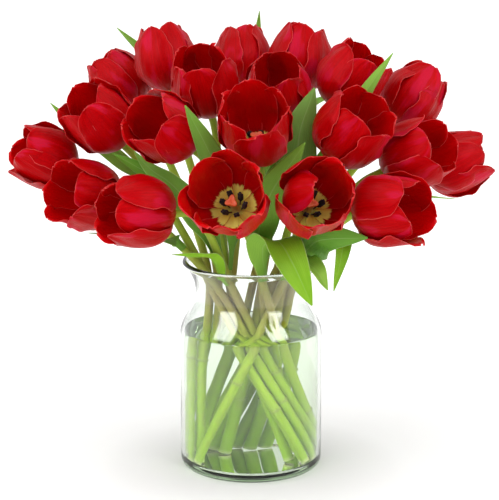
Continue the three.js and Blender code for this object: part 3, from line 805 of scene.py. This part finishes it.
def build_bloom(number):
    """The petals, three outer and three inner, then the pistil and the stamens."""
    name = f"bloom_{number:02d}"
    base, axes, size = bloom_frame(number)
    scale = size * MM
    open_share = OPEN[number - 1]

    def placed(points):
        return base + (points * scale) @ axes

    def outward(turn):
        return math.cos(turn) * axes[0] + math.sin(turn) * axes[1]

    turns = [FULL_TURN * k / PETALS for k in range(PETALS)]
    leftmost = min(range(PETALS), key=lambda k: outward(turns[k])[0])
    petals = Build(f"{name}_petals", "petal", PETAL, ["side", "seed"])
    for k, even_turn in enumerate(turns):
        turn = even_turn + np.random.default_rng(number * 7 + k).uniform(-0.07, 0.07)
        # a petal on the low side of a leaning bloom hangs open, and one on the high side shuts a little
        rise = outward(turn)[2]
        droop = max(0.0, -rise) * 0.30 - max(0.0, rise) * 0.05
        folded = number in FOLDED and k == leftmost
        grid, thickness, uv = petal_grid(open_share, k % 2 == 1, number * 31 + k, droop, folded)
        grid = placed(turned_about_z(grid, turn))
        seed = (number * 0.37 + k * 0.61) % 1.0
        petals.sheet(grid[:, ::-1], thickness * scale, uv[:, ::-1], seed=seed)
    petals.finish(name)

    pistil = Build(f"{name}_pistil", "petal", PISTIL)
    grid, uv = pistil_grid()
    pistil.grid(placed(grid), uv, close_columns=True)
    pistil.finish()

    rng = np.random.default_rng(500 + number)
    stamens = Build(f"{name}_stamens", "petal", ANTHER)
    for k in range(STAMENS):
        turn = FULL_TURN * (k + 0.5) / STAMENS + rng.uniform(-0.12, 0.12)
        lean = rng.uniform(0.10, 0.34) * (0.5 + 0.5 * open_share)
        grid, uv = stamen_grid(lean, rng.uniform(17, 21))
        stamens.tube(placed(turned_about_z(grid, turn)), uv)
    stamens.finish()


# ---- leaves ------------------------------------------------------------------------------------

# How yellow each leaf is, from blue green at 0 to bright yellow green at 1.
TONES = [
    0.55, 0.6, 0.6, 0.7, 0.45, 0.42, 0.25, 0.5, 0.7,
    0.12, 0.35, 0.7, 0.80, 0.2, 0.82, 0.75, 0.85, 0.5,
]

LEAF_COLUMNS = 15

# Waves (beats, size) along a leaf's margins, as shares of its half width.
LEAF_WAVES = [(1.3, 0.09), (2.4, 0.06), (4.1, 0.03)]


def build_leaf(number):
    name = f"leaf_{number:02d}"
    rails = through(leaf_rails(name), steps=5)
    left, middle, right = rails[:, 0], rails[:, 1], rails[:, 2]
    across = np.linspace(-1, 1, LEAF_COLUMNS)
    share = np.linspace(0, 1, len(rails))
    chord = (right - left) / 2
    lift = (left + right) / 2 - middle
    cup = np.abs(across) ** 1.5
    grid = middle[:, None] + chord[:, None] * across[None, :, None] + lift[:, None] * cup[None, :, None]
    half_width = np.linalg.norm(chord, axis=1)
    wave = margin_wave(np.random.default_rng(900 + number), share, across, LEAF_WAVES)
    wave *= np.abs(across[None]) ** 2 * eased(share, 0.15, 0.4)[:, None] * half_width[:, None]
    grid = grid + unit(lift)[:, None] * wave[..., None]
    thickness = (0.75 - 0.35 * np.abs(across[None]) ** 2) * (1.25 - 0.5 * share[:, None]) * MM
    leaf = Build(f"{name}_look", "leaf", LEAF, ["side", "tone"])
    leaf.sheet(grid, thickness, pairs(share, (across + 1) / 2), tone=TONES[number - 1])
    leaf.finish(name)


STEM_LINES = {number: build_stem(number) for number in range(1, len(OPEN) + 1)}
for number in STEM_LINES:
    build_bloom(number)
for number in range(1, len(TONES) + 1):
    build_leaf(number)

# ---- jar and water -----------------------------------------------------------------------------

# Radii and heights in millimetres. The lip is the middle of the rolled rim.
BODY_RADIUS, NECK_RADIUS, MOUTH_RADIUS = 70.0, 54.5, 66.45
SHOULDER_HEIGHT, NECK_HEIGHT, LIP_HEIGHT = 136.0, 177.0, 207.2
LIP_RADIUS, LIP_ROUND = 64.7, 2.8
HEEL_ROUND = 9.0
WALL = 3.5
INNER_FLOOR = 8.0
INNER_HEEL_ROUND = 5.5
WATER_GAP = 0.2
WATER_HEIGHT = 140.0
CENTRE = 0.4
STRAIGHT_HEIGHTS = [30, 60, 90, 115]
CURVED_HEIGHTS = np.linspace(SHOULDER_HEIGHT, 204.4, 48)

# The outside of the underside is pushed up in the middle, and the inside of the floor is nearly flat.
UNDERSIDE = [
    (CENTRE, 3.4), (8, 3.3), (16, 2.9), (22, 2.2), (27, 2.3), (34, 2.0), (42, 1.1), (50, 0.2), (55, 0.0),
]
FLOOR_INSIDE = [(52, 7.9), (36, 7.5), (18, 7.2), (CENTRE, 7.1)]

# How the water meets the glass, as (in from the glass, up from the water's height).
MENISCUS = [(0, 0.5), (0.9, -0.1), (3.3, -0.4)]


def turned(name, slot, material, profile, sides=192):
    """A closed body turned about the z axis from (radius, height) points, in millimetres."""
    profile = np.array(profile, float) * MM
    a = circle(sides)
    heights = np.broadcast_to(profile[:, 1:], (len(profile), sides))
    points = np.stack([profile[:, :1] * np.cos(a), profile[:, :1] * np.sin(a), heights], -1)
    build = Build(f"{name}_look", slot, material)
    build.tube(points, lattice(len(profile), sides), inside_out=True)
    build.finish(name)


def outside_radius(z):
    """The jar's outside radius at a height above its heel."""
    if z <= SHOULDER_HEIGHT:
        return BODY_RADIUS
    if z <= NECK_HEIGHT:
        down = math.pi * (z - SHOULDER_HEIGHT) / (NECK_HEIGHT - SHOULDER_HEIGHT)
        return BODY_RADIUS - (BODY_RADIUS - NECK_RADIUS) * (1 - math.cos(down)) / 2
    flare = (z - NECK_HEIGHT) / (LIP_HEIGHT - NECK_HEIGHT)
    return NECK_RADIUS + (MOUTH_RADIUS - NECK_RADIUS) * flare * flare


def bend(r, z, radius, start, end, steps):
    """Points round part of a circle, from one angle to another in degrees."""
    turns = np.radians(np.linspace(start, end, steps + 1))
    return [(r + radius * math.cos(a), z + radius * math.sin(a)) for a in turns]


def build_jar():
    heel = BODY_RADIUS - HEEL_ROUND
    inner_heel = BODY_RADIUS - WALL - INNER_HEEL_ROUND
    turned("jar", "glass", GLASS, (
        UNDERSIDE
        + bend(heel, HEEL_ROUND, HEEL_ROUND, -90, 0, 10)
        + [(BODY_RADIUS, z) for z in STRAIGHT_HEIGHTS]
        + [(outside_radius(z), z) for z in CURVED_HEIGHTS]
        + bend(LIP_RADIUS, LIP_HEIGHT, LIP_ROUND, 0, 180, 16)
        + [(outside_radius(z) - WALL, z) for z in CURVED_HEIGHTS[::-1]]
        + [(BODY_RADIUS - WALL, z) for z in STRAIGHT_HEIGHTS[::-1]]
        + bend(inner_heel, INNER_FLOOR + INNER_HEEL_ROUND, INNER_HEEL_ROUND, 0, -90, 8)
        + FLOOR_INSIDE
    ))


def build_water():
    """The water stands a little inside the glass and climbs it at its edge."""
    surface = WATER_HEIGHT - 0.5
    inset = WALL + WATER_GAP
    heel = BODY_RADIUS - inset - INNER_HEEL_ROUND
    heel_height = INNER_FLOOR + WATER_GAP + INNER_HEEL_ROUND
    wall = outside_radius(WATER_HEIGHT) - inset
    turned("water", "water", WATER, (
        [(r, z + WATER_GAP) for r, z in FLOOR_INSIDE[::-1]]
        + bend(heel, heel_height, INNER_HEEL_ROUND, -90, 0, 8)
        + [(BODY_RADIUS - inset, z) for z in STRAIGHT_HEIGHTS]
        + [(outside_radius(z) - inset, z) for z in CURVED_HEIGHTS if z < surface]
        + [(wall - inward, WATER_HEIGHT + rise) for inward, rise in MENISCUS]
        + [(r, surface) for r in (50, 35, 20, CENTRE)]
    ))


build_jar()
build_water()

# ---- floor, light and air ----------------------------------------------------------------------

FLOOR_HALF = 6.0
FLOOR_SQUARES = 24
FLOOR_HEIGHT = -0.0002
LIGHT_TARGET = Vector((0, 0, 0.22))
WINDOW_BEARING = 50
WINDOW_RISE = 36


def add_floor():
    mesh = bpy.data.meshes.new("floor")
    row = FLOOR_SQUARES + 1
    steps = np.linspace(-FLOOR_HALF, FLOOR_HALF, row)
    corners = [(x, y, FLOOR_HEIGHT) for y in steps for x in steps]
    firsts = [r * row + c for r in range(FLOOR_SQUARES) for c in range(FLOOR_SQUARES)]
    mesh.from_pydata(corners, [], [(i, i + 1, i + row + 1, i + row) for i in firsts])
    mesh.materials.append(floor_material())
    floor = put("floor", mesh)


def softbox(name, bearing, rise, distance, width, height, power):
    """A soft light round the object: bearing from the front towards the right, and rise above the floor."""
    data = bpy.data.lights.new(name, "AREA")
    data.shape = "RECTANGLE"
    data.size, data.size_y = width, height
    data.energy = power
    light = put(name, data)
    b, e = math.radians(bearing), math.radians(rise)
    way = Vector((math.sin(b) * math.cos(e), -math.cos(b) * math.cos(e), math.sin(e)))
    aim(light, LIGHT_TARGET + way * distance, LIGHT_TARGET)
    return light


def add_air():
    """Air that looks pure white and lights the scene a little less."""
    world = bpy.data.worlds.new("white air")
    world.use_nodes = True
    nodes, links = world.node_tree.nodes, world.node_tree.links
    background = nodes["Background"]
    background.inputs["Color"].default_value = (1, 1, 1, 1)
    seen = nodes.new("ShaderNodeLightPath")
    strength = nodes.new("ShaderNodeMapRange")
    strength.inputs["To Min"].default_value = 0.80
    links.new(seen.outputs["Is Camera Ray"], strength.inputs["Value"])
    links.new(strength.outputs["Result"], background.inputs["Strength"])
    bpy.context.scene.world = world


add_floor()
softbox("left_window", -WINDOW_BEARING, WINDOW_RISE, distance=2.2, width=1.3, height=1.7, power=18)
softbox("right_window", WINDOW_BEARING, WINDOW_RISE, distance=2.2, width=1.3, height=1.7, power=14)
softbox("overhead", 0, 84, distance=2.6, width=2.6, height=2.6, power=13)
# behind each window stands a brighter one that lights nothing matt and shows only as a glint
for side, power in ((-1, 34), (1, 40)):
    name = f"glint_{side + 1}"
    bearing = WINDOW_BEARING * side
    glint = softbox(name, bearing, WINDOW_RISE, distance=2.25, width=1.2, height=1.6, power=power)
    glint.visible_diffuse = False
add_air()
bpy.context.scene.view_settings.view_transform = "Standard"
bpy.context.scene.view_settings.look = "None"
